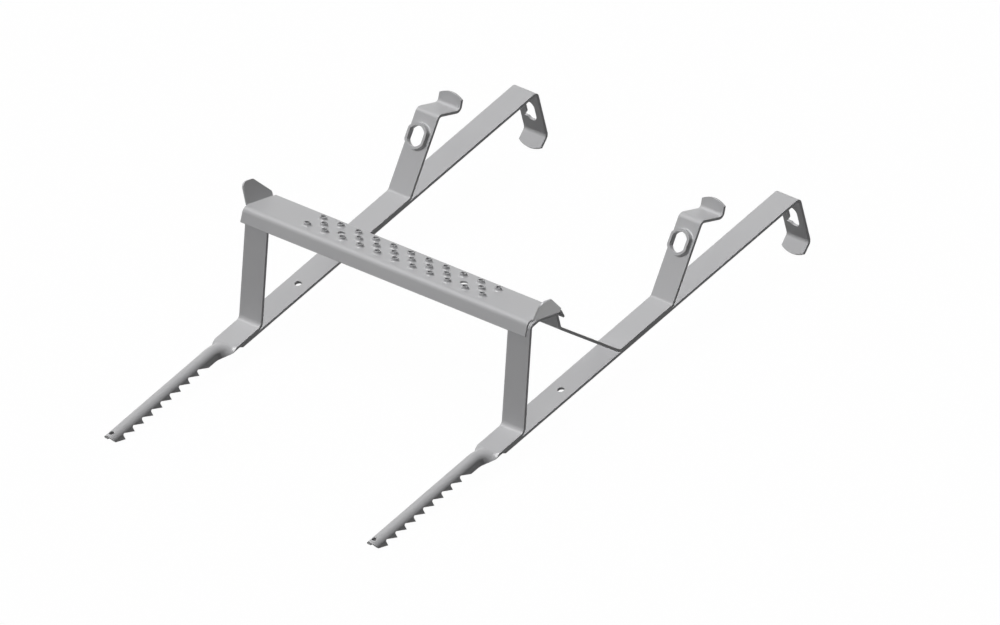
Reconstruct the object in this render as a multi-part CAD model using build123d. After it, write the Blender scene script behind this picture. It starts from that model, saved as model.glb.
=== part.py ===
from build123d import *
from math import cos, pi, radians, sin, sqrt, tan
import os

# Roof step: a perforated foot tread carried by two folded steel brackets that hook over a roof batten.
# X runs along the tread, Y up the roof slope, Z square off the roof.
# The origin is midway between the brackets, where the hooks' down-slope faces meet the straps' underside.

os.makedirs("parts", exist_ok=True)

# Flat steel bar that both straps of a bracket are folded from
bar_width = 30.0
bar_thickness = 3.0
bar_end_radius = 28.0

# Base strap: lies up the slope and hooks over the batten
base_length = 460.0
base_hole_diameter = 7.5
base_hole_from_end = 107.5
hook_bend = 3.0
hook_drop = 52.9
hook_tip_bend = 5.0
hook_tip_length = 17.3
hook_tip_angle = 35.0
slot_width = 14.0
slot_top_drop = 20.5
slot_length = 10.5
notch_reach = 3.5
notch_drop = 35.2
notch_height = 5.2

# Support strap: seat, leg, shoulder, crown under the tread, strut, second seat and the upper arm
neck_gap = 4.0
lower_seat_length = 37.4
leg_foot_bend = 6.5
leg_length = 116.2
leg_top_bend = 2.5
shoulder_length = 13.2
shoulder_bend = 5.0
crown_rear_bend = 5.0
rear_drop = 19.25
strut_top_bend = 5.0
strut_angle = 49.0
strut_foot_bend = 5.0
upper_seat_length = 81.5
arm_foot_bend = 5.0
arm_angle = 45.0
arm_length = 89.8
arm_top_bend = 4.0
arm_flange_length = 31.2
arm_flange_angle = 27.2
lip_bend = 4.0
lip_length = 14.9
lip_angle = 60.0

# Collared opening near the top of the arm
arm_hole_below_top = 28.1
arm_hole_diameter = 22.0
arm_hole_side = 5.5
arm_hole_corner = 1.5
arm_collar_wall = 3.0
arm_collar_height = 6.0
arm_collar_root = 1.5
arm_hole_mouth = 4.0

# Toothed channel that the support strap is rolled into at its down-slope end
channel_inside_radius = 4.0
channel_length = 156.6
ridge_rise = 9.2
neck_length = 25.0
neck_stations = 6
tooth_count = 9
tooth_pitch = 14.34
first_tooth_from_neck = 25.0
tooth_back_angle = 29.1
tooth_lean = 13.8
gullet_radius = 1.5
last_tooth_slope = 23.0
end_stations = 7
end_share = 0.95
ridge_hole_diameter = 5.0
ridge_hole_from_end = 6.1

# Tread: one folded sheet, tilted down towards the roof
tread_length = 390.0
tread_thickness = 2.0
tread_tilt = 21.0
tread_flat_depth = 42.0
tread_ahead_of_crown = 10.9
tread_past_crown = 2.75
front_flange_angle = 78.5
front_flange_length = 10.8
front_bend = 5.0
rear_flange_angle = 56.0
rear_flange_length = 8.6
rear_bend = 2.5

# Upturned ears that close the tread's ends
ear_lean = 21.0
ear_bend = 1.0
ear_height = 23.5
ear_front_inset = 0.8
ear_crest_end = 16.9
ear_rear_inset = 2.4
ear_rear_height = 4.8
ear_front_corner = 7.0
ear_crest_corner = 5.0
ear_rear_corner = 3.0

# Raised grip holes and plain holes in the tread
hole_pitch = 24.0
row_pitch = 12.0
front_row_depth = 8.1
first_hole_from_end = 75.0
collar_base_diameter = 11.8
collar_rim_diameter = 7.6
collar_height = 3.6
collar_hole_diameter = 5.5
collar_mouth = 1.5
plain_hole_diameter = 8.0

# How far cutting shapes run past the metal, and how near counts as touching
over = 1.0
through = 60.0
touch = 0.01

bracket_spacing = tread_length - bar_width
seat_top = 2 * bar_thickness
channel_radius = channel_inside_radius + bar_thickness
roll_length = pi * (channel_inside_radius + bar_thickness / 2)
channel_wall = (bar_width - roll_length) / 2
ridge_top = seat_top + ridge_rise
channel_bottom = ridge_top - channel_radius - channel_wall
neck_start = base_length + neck_gap
neck_end = neck_start + neck_length
channel_end = neck_end + channel_length
crown_length = tread_flat_depth - tread_ahead_of_crown - tread_past_crown
arm_hole_span = arm_hole_diameter + 2 * (arm_collar_wall + arm_collar_root + over)


def step(point, length, angle):
    """The point at a length from another, along an angle in degrees up from +Y."""
    return (point[0] + length * cos(radians(angle)), point[1] + length * sin(radians(angle)))


def end_rise(across, radius):
    """How far a bar's rounded end falls short of its tip, at a distance across from the middle."""
    return radius - sqrt(radius**2 - across**2)


bar_end_length = end_rise(bar_width / 2, bar_end_radius)


def folded_strip(corners, inside_radii, thickness):
    """Outline of a strip folded from flat: one face follows the corners, the metal lies on its right."""
    path = [Vector(*corner) for corner in corners]
    ways = [(b - a).normalized() for a, b in zip(path, path[1:])]
    rights = [Vector(way.Y, -way.X) for way in ways]
    back = [path[0] + rights[0] * thickness]
    near_radii = []
    back_radii = []
    for n, radius in enumerate(inside_radii):
        mitre = (rights[n] + rights[n + 1]) * (thickness / (1 + rights[n].dot(rights[n + 1])))
        back.append(path[n + 1] + mitre)
        turns_left = ways[n].cross(ways[n + 1]).Z > 0
        near_radii.append(radius if turns_left else radius + thickness)
        back_radii.append(radius + thickness if turns_left else radius)
    back.append(path[-1] + rights[-1] * thickness)
    near = FilletPolyline(*path, radius=near_radii)
    far = FilletPolyline(*reversed(back), radius=list(reversed(back_radii)))
    return make_face([*near.edges(), Line(path[-1], back[-1]), *far.edges(), Line(back[0], path[0])])


def bar_plane(point, angle, side=1):
    """Plane on a bar's upper face: Y along the bar at an angle up from +Y, Z out of the metal."""
    along = Vector(0, cos(radians(angle)), sin(radians(angle)))
    across = Vector(side, 0, 0)
    return Plane(origin=(0, *point), x_dir=across, z_dir=across.cross(along))


def folded_bar(corners, inside_radii):
    """A folded bar, centred on X 0, from the side view of its upper face."""
    outline = Plane.YZ * folded_strip(corners, inside_radii, bar_thickness)
    return extrude(outline, amount=bar_width / 2, both=True)


def rounded_tongue():
    """The round end of a bar, past the bar's last square line: along +Y, its upper face on Z 0."""
    half = bar_width / 2
    arc = ThreePointArc((-half, 0), (0, bar_end_length), (half, 0))
    return extrude(make_face([arc, Line((half, 0), (-half, 0))]), amount=-bar_thickness)


def base_strap():
    """Lower strap of a bracket with its rounded foot, fixing hole and batten hook."""
    foot = (bar_end_length - base_length, bar_thickness)
    tip_mitre = bar_thickness * tan(radians((90 - hook_tip_angle) / 2))
    tip_corner = (bar_thickness, -hook_drop - tip_mitre)
    tip_way = 180 + hook_tip_angle
    tip = step(tip_corner, hook_tip_length - bar_end_length + tip_mitre, tip_way)
    strap = folded_bar([foot, (bar_thickness, bar_thickness), tip_corner, tip], [hook_bend, hook_tip_bend])
    strap += bar_plane(foot, 180, side=-1) * rounded_tongue()
    strap += bar_plane(tip, tip_way) * rounded_tongue()
    hole_centre = (0, base_hole_from_end - base_length, 0)
    strap -= Pos(*hole_centre) * Cylinder(base_hole_diameter / 2, through)
    strap -= extrude(Plane.XZ * hook_opening(), amount=through, both=True)
    return strap


def hook_opening():
    """Slot down the hook with a small side notch at its foot, drawn as X across and Y up."""
    middle = -slot_top_drop - slot_length / 2
    slot = Pos(0, middle) * SlotCenterToCenter(slot_length, slot_width, rotation=90)
    side = -slot_width / 2
    notch_top = notch_height - notch_drop
    corners = [(0, notch_top), (side, notch_top), (side - notch_reach, -notch_drop), (0, -notch_drop)]
    return slot + make_face(Polyline(*corners, close=True))


def support_path():
    """Corners of the support strap's upper face, from its lower seat to the square line of its lip."""
    seat = (-neck_start, seat_top)
    leg_foot = (lower_seat_length - neck_start, seat_top)
    leg_top = step(leg_foot, leg_length, 90 - tread_tilt)
    crown_front = step(leg_top, shoulder_length, 0)
    crown_rear = step(crown_front, crown_length, -tread_tilt)
    strut_top = step(crown_rear, rear_drop, -90)
    strut_foot = (strut_top[0] + (strut_top[1] - seat_top) / tan(radians(strut_angle)), seat_top)
    arm_foot = step(strut_foot, upper_seat_length, 0)
    arm_top = step(arm_foot, arm_length, arm_angle)
    flange_end = step(arm_top, arm_flange_length, -arm_flange_angle)
    lip_end = step(flange_end, lip_length - bar_end_length, lip_angle)
    carrying = [seat, leg_foot, leg_top, crown_front, crown_rear, strut_top, strut_foot]
    return carrying + [arm_foot, arm_top, flange_end, lip_end]


def rolled_section(bend, ridge):
    """Cross-section of the bar with its middle rolled through a bend in degrees, its ridge at a height."""
    half = radians(bend / 2)
    edges = []
    ends = []
    for depth in (0, bar_thickness):
        top = (0, ridge - depth)
        knee = (roll_length / 2, ridge - depth)
        if bend:
            radius = roll_length / (2 * half) + bar_thickness / 2 - depth
            knee = (radius * sin(half), ridge - depth - radius * (1 - cos(half)))
        tip = (knee[0] + channel_wall * cos(half), knee[1] - channel_wall * sin(half))
        left_knee = (-knee[0], knee[1])
        left_tip = (-tip[0], tip[1])
        edges.append(ThreePointArc(left_knee, top, knee) if bend else Line(left_knee, knee))
        edges += [Line(knee, tip), Line(left_knee, left_tip)]
        ends.append((left_tip, tip))
    edges += [Line(ends[0][0], ends[1][0]), Line(ends[0][1], ends[1][1])]
    return make_face(edges)


def neck():
    """The bar closing from flat to the channel's section, fast at first."""
    sections = []
    for n in range(neck_stations + 1):
        share = n / neck_stations
        closed = sin(pi / 2 * share)
        section = rolled_section(180 * closed, seat_top + ridge_rise * closed)
        sections.append(Plane.XZ.offset(neck_start + neck_length * share) * section)
    return loft(sections, ruled=True)


def tooth_outline():
    """Side view of the channel's kept metal: saw teeth along its lower edge, tips towards the hooks."""
    tooth_depth = tooth_pitch / (1 / tan(radians(tooth_back_angle)) - tan(radians(tooth_lean)))
    valley_set = tooth_depth * tan(radians(tooth_lean))
    first_tip = -neck_end - first_tooth_from_neck
    above = ridge_top + over
    beyond = -channel_end - over
    corners = [(-neck_end, above), (-neck_end, channel_bottom), (first_tip + tooth_pitch, channel_bottom)]
    radii = [0, 0, 0]
    for n in range(tooth_count):
        tip = first_tip - n * tooth_pitch
        corners += [(tip - valley_set, channel_bottom + tooth_depth), (tip, channel_bottom)]
        radii += [gullet_radius, 0]
    run_out = corners[-1][0] - beyond
    corners.append((beyond, channel_bottom + run_out * tan(radians(last_tooth_slope))))
    corners.append((beyond, above))
    return FilletPolyline(*corners, radius=[*radii, 0, 0], close=True)


def end_outline():
    """Side view of what the channel's fully rounded end leaves out."""
    curve = []
    for n in range(end_stations + 1):
        across = n / end_stations * end_share * bar_width / 2
        rolled = min(across, roll_length / 2)
        height = ridge_top - channel_radius * (1 - cos(pi * rolled / roll_length)) - (across - rolled)
        curve.append((end_rise(across, bar_width / 2) - channel_end, height))
    beyond = -channel_end - over
    above = ridge_top + over
    corners = [curve[-1], (beyond, curve[-1][1]), (beyond, above), (curve[0][0], above), curve[0]]
    return make_face([Spline(*curve), *Polyline(*corners).edges()])


def channel():
    """The rolled channel with teeth in both walls, a rounded end and a hole in its ridge."""
    section = Plane.XZ.offset(neck_end) * rolled_section(180, ridge_top)
    body = extrude(section, amount=channel_length)
    body = body & extrude(Plane.YZ * make_face(tooth_outline()), amount=through, both=True)
    body = body - extrude(Plane.YZ * end_outline(), amount=through, both=True)
    hole = Cylinder(ridge_hole_diameter / 2, 2 * bar_thickness)
    return body - Pos(0, ridge_hole_from_end - channel_end, ridge_top - bar_thickness / 2) * hole


def inner_edges(block, height):
    """Edges of the arm's holed block at one height, without the block's own outline."""
    level = block.edges().filter_by_position(Axis.Z, height - touch, height + touch)
    half_span = arm_hole_span / 2 - touch
    half_width = bar_width / 2 - touch
    return [edge for edge in level if abs(edge.center().X) < half_width and abs(edge.center().Y) < half_span]


def arm_hole_block():
    """Length of the arm around its drawn double-D hole: a collar stands off the face at Z 0."""
    width = bar_width - 2 * arm_hole_side
    hole = Circle(arm_hole_diameter / 2) & Rectangle(width, arm_hole_diameter)
    hole = fillet(hole.vertices(), arm_hole_corner)
    block = extrude(Rectangle(bar_width, arm_hole_span), amount=-bar_thickness)
    block += extrude(offset(hole, arm_collar_wall), amount=arm_collar_height)
    block = fillet(inner_edges(block, 0), arm_collar_root)
    block -= extrude(hole, amount=through, both=True)
    return fillet(inner_edges(block, -bar_thickness), arm_hole_mouth)


def support_strap():
    """Upper strap of a bracket, one folded bar from its toothed channel to the lip of its arm."""
    path = support_path()
    bends = [
        leg_foot_bend,
        leg_top_bend,
        shoulder_bend,
        crown_rear_bend,
        strut_top_bend,
        strut_foot_bend,
        arm_foot_bend,
        arm_top_bend,
        lip_bend,
    ]
    strap = folded_bar(path, bends)
    hole_plane = bar_plane(step(path[8], -arm_hole_below_top, arm_angle), arm_angle)
    strap -= hole_plane * extrude(Rectangle(bar_width, arm_hole_span), amount=bar_thickness, both=True)
    strap += hole_plane * arm_hole_block()
    strap += bar_plane(path[-1], lip_angle) * rounded_tongue()
    return strap + neck() + channel()


def tread_sheet():
    """The tread's folded sheet: front flange, flat and rear flange, its flat's front line on Y 0."""
    front_reach = (front_bend + tread_thickness) * tan(radians(front_flange_angle / 2))
    rear_reach = (rear_bend + tread_thickness) * tan(radians(rear_flange_angle / 2))
    front_corner = (-front_reach, 0)
    rear_corner = (tread_flat_depth + rear_reach, 0)
    front_tip = step(front_corner, front_reach + front_flange_length, 180 + front_flange_angle)
    rear_tip = step(rear_corner, rear_reach + rear_flange_length, -rear_flange_angle)
    corners = [front_tip, front_corner, rear_corner, rear_tip]
    outline = Plane.YZ * folded_strip(corners, [front_bend, rear_bend], tread_thickness)
    return extrude(outline, amount=tread_length / 2, both=True)


def ear():
    """The upturned ear at the tread's +X end."""
    rise = 90 - ear_lean
    end = tread_length / 2
    fold = (end + ear_bend * tan(radians(rise / 2)), 0)
    strip = Plane.XZ * folded_strip([(end - over, 0), fold, step(fold, ear_height, rise)], [ear_bend], tread_thickness)
    bent = extrude(strip, amount=through + tread_flat_depth, both=True)
    lean = (sin(radians(rise)), 0, -cos(radians(rise)))
    face = Plane(origin=(fold[0], 0, 0), x_dir=(0, 1, 0), z_dir=lean)
    rear = tread_flat_depth - ear_rear_inset
    outline = FilletPolyline(
        (ear_front_inset, -through),
        (ear_front_inset, ear_height),
        (ear_crest_end, ear_height),
        (rear, ear_rear_height),
        (rear, -through),
        radius=[0, ear_front_corner, ear_crest_corner, ear_rear_corner, 0],
        close=True,
    )
    whole = bent & extrude(face * make_face(outline), amount=through, both=True)
    return split(whole, Plane.YZ.offset(end), keep=Keep.TOP)


def grip_collar():
    """Raised collar of a grip hole: it stands on the tread at Z 0 with a hollow root."""
    base = collar_base_diameter / 2
    rim = collar_rim_diameter / 2
    root = base - rim
    side = [
        Line((0, -tread_thickness / 2), (base, -tread_thickness / 2)),
        Line((base, -tread_thickness / 2), (base, 0)),
        RadiusArc((base, 0), (rim, root), root),
        Line((rim, root), (rim, collar_height)),
        Line((rim, collar_height), (0, collar_height)),
        Line((0, collar_height), (0, -tread_thickness / 2)),
    ]
    return revolve(Plane.XZ * make_face(side), Axis.Z)


def grip_bore():
    """What a grip hole takes out: a bore with a rounded mouth below the tread."""
    bore = collar_hole_diameter / 2
    mouth = bore + collar_mouth
    below = -tread_thickness - over
    above = collar_height + over
    side = [
        Line((0, below), (mouth, below)),
        Line((mouth, below), (mouth, -tread_thickness)),
        RadiusArc((mouth, -tread_thickness), (bore, collar_mouth - tread_thickness), collar_mouth),
        Line((bore, collar_mouth - tread_thickness), (bore, above)),
        Line((bore, above), (0, above)),
        Line((0, above), (0, below)),
    ]
    return revolve(Plane.XZ * make_face(side), Axis.Z)


def hole_places():
    """Places of the grip holes and of the two plain holes on the tread's flat."""
    gaps = int((tread_length - 2 * first_hole_from_end) / hole_pitch)
    rows = []
    for row, count in enumerate((gaps + 1, gaps, gaps + 1)):
        start = -(count - 1) / 2 * hole_pitch
        rows.append([(start + n * hole_pitch, front_row_depth + row * row_pitch) for n in range(count)])
    front, middle, rear = rows
    plain = [middle.pop(-2), middle.pop(1)]
    return front + middle + rear, plain


def step_plate():
    """The tread: one folded sheet with its ears, raised grip holes and plain holes, on the crowns."""
    plate = tread_sheet() + ear() + mirror(ear(), Plane.YZ)
    grips, plain = hole_places()
    plate += [Pos(x, y, 0) * grip_collar() for x, y in grips]
    cuts = [Pos(x, y, 0) * grip_bore() for x, y in grips]
    cuts += [Pos(x, y, 0) * Cylinder(plain_hole_diameter / 2, through) for x, y in plain]
    plate -= cuts
    crown_front = support_path()[3]
    corner = step(step(crown_front, -tread_ahead_of_crown, -tread_tilt), tread_thickness, 90 - tread_tilt)
    return bar_plane(corner, -tread_tilt) * plate


pieces = {"step_plate": step_plate()}
for side, x in (("left", -bracket_spacing / 2), ("right", bracket_spacing / 2)):
    pieces[side + "_base_strap"] = Pos(x, 0, 0) * base_strap()
    pieces[side + "_support_strap"] = Pos(x, 0, 0) * support_strap()
for name, piece in pieces.items():
    export_step(piece, f"parts/{name}.step")
    print(name, round(piece.volume / 1000, 2), "cm3", piece.is_valid)
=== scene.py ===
# %% [markdown]
# This lesson dresses a roof step in Blender. The step is a perforated steel tread on two folded
# steel brackets, which hook over a batten of a tiled roof. Its solids come ready made, in metres:
# X runs along the tread, Y up the roof slope and Z square off the roof. Everything that is added
# here takes its place from them, so the frame is loaded first.

# %% Load the frame
import math

import bpy
from mathutils import Matrix, Vector

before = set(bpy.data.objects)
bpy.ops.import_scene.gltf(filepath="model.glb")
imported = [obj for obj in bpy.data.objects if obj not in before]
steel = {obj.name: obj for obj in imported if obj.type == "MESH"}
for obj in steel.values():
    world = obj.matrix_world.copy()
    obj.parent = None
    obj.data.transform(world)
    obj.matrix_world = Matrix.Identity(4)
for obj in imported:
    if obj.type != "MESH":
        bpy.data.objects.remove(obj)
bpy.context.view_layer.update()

print("pieces in the frame:", sorted(steel))

# %% [markdown]
# Colours are written as sRGB hex values, as a paint chart gives them, but shaders count in linear
# light, so one function turns the first into the second. A material is a small net of nodes, so a
# second function adds one node with its settings and links, which keeps each net short enough to
# read. An input goes by its name, or by its number, such as _6, where a node has several inputs of
# one name.

# %% Colour and node helpers
def linear(code):
    """An sRGB hex colour as the linear colour that a shader takes."""
    shares = [int(code[n:n + 2], 16) / 255 for n in (1, 3, 5)]
    return (*(s / 12.92 if s <= 0.04045 else ((s + 0.055) / 1.055) ** 2.4 for s in shares), 1)


def add_node(tree, kind, settings=None, **inputs):
    """A node with its settings and its inputs, each a value or another node's output."""
    node = tree.nodes.new(kind)
    for name, value in (settings or {}).items():
        setattr(node, name, value)
    for name, value in inputs.items():
        numbered = name[1:].isdigit()
        socket = node.inputs[int(name[1:]) if numbered else name.replace("_", " ")]
        if isinstance(value, bpy.types.NodeSocket):
            tree.links.new(value, socket)
        else:
            socket.default_value = value
    return node


def new_material(name):
    """An empty material and its node tree."""
    material = bpy.data.materials.new(name)
    material.use_nodes = True
    material.node_tree.nodes.clear()
    return material, material.node_tree


# %% [markdown]
# The whole step wears one matt light grey coat: polyester powder, sprayed dry on the finished
# steelwork and baked, so that it flows together into a skin about 0.08 mm thick. It has no metal
# glint. What the eye gets from it is a soft, weak gloss, a faint orange peel, since powder never
# levels quite flat, and a slightly paler line where the skin draws thin over a sheared edge. Cloudy
# drifts of a percent or two come from an uneven spray. A picture would do this only for one view,
# so all of it is procedural and sits on Object coordinates, which are metres. The peel's ripples
# are as wide as on a real coat. The powder's grain is far finer than a pixel, so it is drawn as
# coarse as it needs to be to show, and it varies the gloss more than the height.

# %% Powder coat
COAT_GREY = "#b6b6b7"
COAT_DRIFT_DARK = "#b1b1b3"
COAT_EDGE = "#bebebf"
COAT_IOR = 1.5
COAT_GLOSS = 0.22
SMOOTHEST = 0.28
ROUGHEST = 0.36

# The coat's patterns: width and depth in metres, octaves of finer detail, and the share of the
# depth that shows
DRIFT_SIZE = 0.060
DRIFT_DETAIL = 3.0
PEEL_SIZE = 0.0035
PEEL_DETAIL = 1.0
PEEL_DEPTH = 0.0002
PEEL_SHARE = 0.12
GRAIN_SIZE = 0.0009
GRAIN_DETAIL = 2.0
GRAIN_DEPTH = 0.0001
GRAIN_SHARE = 0.10

# Edges are rounded by a radius in metres, averaged over a few samples. An edge shows where the
# rounded normal leaves the flat one, by the cosine of the angle between the two
EDGE_ROUND = 0.0003
EDGE_SAMPLES = 6
EDGE_STARTS = 0.98
EDGE_FULL = 0.80


def powder_coat():
    """Baked matt powder on steel."""
    material, tree = new_material("powder_coated_steel")
    where = add_node(tree, "ShaderNodeTexCoord").outputs["Object"]
    drift = add_node(tree, "ShaderNodeTexNoise", Vector=where, Scale=1 / DRIFT_SIZE,
                     Detail=DRIFT_DETAIL)
    peel = add_node(tree, "ShaderNodeTexNoise", Vector=where, Scale=1 / PEEL_SIZE,
                    Detail=PEEL_DETAIL)
    grain = add_node(tree, "ShaderNodeTexNoise", Vector=where, Scale=1 / GRAIN_SIZE,
                     Detail=GRAIN_DETAIL)

    rounded = add_node(tree, "ShaderNodeBevel", {"samples": EDGE_SAMPLES}, Radius=EDGE_ROUND)
    flat = add_node(tree, "ShaderNodeNewGeometry").outputs["Normal"]
    turn = add_node(tree, "ShaderNodeVectorMath", {"operation": "DOT_PRODUCT"},
                    _0=rounded.outputs[0], _1=flat)
    edge = add_node(tree, "ShaderNodeMapRange", Value=turn.outputs["Value"],
                    From_Min=EDGE_STARTS, From_Max=EDGE_FULL)

    body = add_node(tree, "ShaderNodeMix", {"data_type": "RGBA"}, Factor=drift.outputs["Fac"],
                    _6=linear(COAT_DRIFT_DARK), _7=linear(COAT_GREY))
    colour = add_node(tree, "ShaderNodeMix", {"data_type": "RGBA"}, Factor=edge.outputs[0],
                      _6=body.outputs[2], _7=linear(COAT_EDGE))
    rough = add_node(tree, "ShaderNodeMapRange", Value=grain.outputs["Fac"],
                     To_Min=SMOOTHEST, To_Max=ROUGHEST)
    skin = add_node(tree, "ShaderNodeBump", Height=peel.outputs["Fac"], Strength=PEEL_SHARE,
                    Distance=PEEL_DEPTH, Normal=rounded.outputs[0])
    skin = add_node(tree, "ShaderNodeBump", Height=grain.outputs["Fac"], Strength=GRAIN_SHARE,
                    Distance=GRAIN_DEPTH, Normal=skin.outputs[0])
    coat = add_node(tree, "ShaderNodeBsdfPrincipled", IOR=COAT_IOR, Base_Color=colour.outputs[2],
                    Roughness=rough.outputs[0], Normal=skin.outputs[0],
                    Specular_IOR_Level=COAT_GLOSS)
    add_node(tree, "ShaderNodeOutputMaterial", Surface=coat.outputs[0])
    return material


coat = powder_coat()
for name, piece in steel.items():
    piece.data.materials.clear()
    piece.data.materials.append(coat)
    print(name, "wears", coat.name)

# %% [markdown]
# The step is stood on a plain pale floor. Put down by itself it rests on the two hook tips and on
# the last teeth of the channels. Seen from the side, the floor lies along the line between them, a
# few degrees off the roof's plane. The line is found by laying a straightedge under the solids: it
# turns about the hooks' lowest corner until it meets something well ahead of them. What is nearer
# than CLEAR_OF_HOOKS, in metres, doesn't count, since it belongs to the hooks themselves.

# %% Find the resting line
CLEAR_OF_HOOKS = 0.1

corners = [v.co for piece in steel.values() for v in piece.data.vertices]
hook_tip = min(corners, key=lambda c: c.z)
ahead = [c for c in corners if c.y < hook_tip.y - CLEAR_OF_HOOKS]
tooth_tip = min(ahead, key=lambda c: (c.z - hook_tip.z) / (hook_tip.y - c.y))
rest_angle = math.atan2(tooth_tip.z - hook_tip.z, hook_tip.y - tooth_tip.y)
print("the step rests at", round(math.degrees(rest_angle), 1), "degrees")

# %% [markdown]
# The picture's ground is pure white, with the object alone on it. Raising the lamps until a floor
# clips to white would bleach the grey coat too, so the lamps stay at a plain level, and only rays
# that come from the camera or a reflection see the floor lifted to white. Light that bounces off
# it to the object still comes from a plain dark grey, and its own shading stays in the mix, so a
# soft shadow remains. The floor shows only from above, so that low views pass through it. The
# world is white in the same way, and gives the object no more than a weak, even light.

# %% Floor and world
FLOOR_SIZE = 30.0
FLOOR_TONE = "#585858"
FLOOR_LIFT = 0.90
WORLD_TONE = "#ffffff"
WORLD_LIGHT = 0.125
WORLD_SEEN = 1.0


def seen_directly(tree):
    """1 for rays from the camera, a reflection or glass, else 0."""
    rays = add_node(tree, "ShaderNodeLightPath").outputs
    either = add_node(tree, "ShaderNodeMath", {"operation": "MAXIMUM"},
                      _0=rays["Is Camera Ray"], _1=rays["Is Glossy Ray"])
    return add_node(tree, "ShaderNodeMath", {"operation": "MAXIMUM"},
                    _0=either.outputs[0], _1=rays["Is Transmission Ray"]).outputs[0]


def floor_paint():
    """Matt floor paint that is white only to the camera and in reflections."""
    material, tree = new_material("pale_floor")
    paint = add_node(tree, "ShaderNodeBsdfDiffuse", Color=linear(FLOOR_TONE))
    lift = add_node(tree, "ShaderNodeMath", {"operation": "MULTIPLY"},
                    _0=seen_directly(tree), _1=FLOOR_LIFT)
    glow = add_node(tree, "ShaderNodeEmission", Strength=lift.outputs[0])
    both = add_node(tree, "ShaderNodeAddShader", _0=paint.outputs[0], _1=glow.outputs[0])
    below = add_node(tree, "ShaderNodeNewGeometry").outputs["Backfacing"]
    clear = add_node(tree, "ShaderNodeBsdfTransparent")
    shown = add_node(tree, "ShaderNodeMixShader", _0=below, _1=both.outputs[0], _2=clear.outputs[0])
    add_node(tree, "ShaderNodeOutputMaterial", Surface=shown.outputs[0])
    return material


bpy.ops.object.select_all(action="DESELECT")
bpy.ops.mesh.primitive_plane_add(size=FLOOR_SIZE)
floor = bpy.context.object
floor.name = "floor"
place = Matrix.Translation((0, hook_tip.y, hook_tip.z)) @ Matrix.Rotation(-rest_angle, 4, "X")
floor.data.transform(place)
floor.data.materials.append(floor_paint())

world = bpy.data.worlds.new("studio")
bpy.context.scene.world = world
world.use_nodes = True
sky_tree = world.node_tree
sky_tree.nodes.clear()
level = add_node(sky_tree, "ShaderNodeMapRange", Value=seen_directly(sky_tree),
                 To_Min=WORLD_LIGHT, To_Max=WORLD_SEEN)
sky = add_node(sky_tree, "ShaderNodeBackground", Color=linear(WORLD_TONE),
               Strength=level.outputs[0])
add_node(sky_tree, "ShaderNodeOutputWorld", Surface=sky.outputs[0])
print("floor drops", round(FLOOR_SIZE / 2 * math.sin(rest_angle), 2), "m over half its length")

# %% [markdown]
# One large lamp hangs almost straight above the roof's plane, a little to the left and to the
# front. The flat straps and the tread face it and come out lightest, the tilted arms are a step
# darker, and what stands upright falls to a mid or dark grey, which makes the folds readable. It is
# a sun lamp, because its light is the same all over, and its wide angle keeps the shadows soft. It
# is weak, for the shadows, and a strong second lamp from the same side casts none, so that the
# straps don't go dark under the tread. A third from there gives only gloss, over an angle wide
# enough that the roots of the grip holes shine but a flat strap seen from above doesn't glare. The
# last comes from below, behind and a little to the right. It lifts what the others miss: the
# undersides, the backs and, faintly, the outer face of the right ear.

# %% Lamps
OVERHEAD = (-0.176, -0.072, 1.0)
LOW_RIGHT = (0.15, 0.40, -0.90)
LAMPS = {
    "overhead_soft": {"from": OVERHEAD, "energy": 0.18, "angle": 50,
                      "shadow": True, "gives": "light"},
    "overhead_fill": {"from": OVERHEAD, "energy": 2.56, "angle": 3,
                      "shadow": False, "gives": "light"},
    "overhead_gloss": {"from": OVERHEAD, "energy": 10.0, "angle": 44,
                       "shadow": False, "gives": "gloss"},
    "low_right": {"from": LOW_RIGHT, "energy": 0.30, "angle": 20,
                  "shadow": False, "gives": "both"},
}
for name, lamp in LAMPS.items():
    light = bpy.data.lights.new(name, "SUN")
    light.energy = lamp["energy"]
    light.angle = math.radians(lamp["angle"])
    light.use_shadow = lamp["shadow"]
    holder = bpy.data.objects.new(name, light)
    holder.rotation_euler = Vector(lamp["from"]).to_track_quat("Z", "Y").to_euler()
    holder.visible_diffuse = lamp["gives"] != "gloss"
    holder.visible_glossy = lamp["gives"] != "light"
    bpy.context.scene.collection.objects.link(holder)
    print(name, "shines at", lamp["energy"])

# %% [markdown]
# The picture is a parallel view, where a millimetre is as long far away as close by, so the camera
# is orthographic. Its direction is given by an azimuth, an elevation and a roll, in degrees from
# the part's own axes. The width of its frame, in metres, sets the scale. It is slid across and up
# in its own plane until the step lies in the frame as in the picture.

# %% Camera
VIEW_AZIMUTH = 49.67
VIEW_ELEVATION = 37.24
VIEW_ROLL = -13.49
VIEW_WIDTH = 1.0101
VIEW_ACROSS = -0.1584
VIEW_UP = -0.1703
VIEW_DISTANCE = 3.0

azimuth = math.radians(VIEW_AZIMUTH)
elevation = math.radians(VIEW_ELEVATION)
turn = (
    Matrix.Rotation(azimuth, 4, "Z")
    @ Matrix.Rotation(math.pi / 2 - elevation, 4, "X")
    @ Matrix.Rotation(math.radians(VIEW_ROLL), 4, "Z")
)
camera_data = bpy.data.cameras.new("camera")
camera_data.type = "ORTHO"
camera_data.ortho_scale = VIEW_WIDTH
camera = bpy.data.objects.new("camera", camera_data)
camera.matrix_world = turn @ Matrix.Translation((VIEW_ACROSS, VIEW_UP, VIEW_DISTANCE))
bpy.context.scene.collection.objects.link(camera)
bpy.context.scene.camera = camera
print("camera axes:", [[round(x, 4) for x in turn.col[n][:3]] for n in range(3)])

# %% [markdown]
# The view transform is set to Standard, so that a grey that is written is the grey that shows.

# %% Finish
bpy.context.scene.view_settings.view_transform = "Standard"
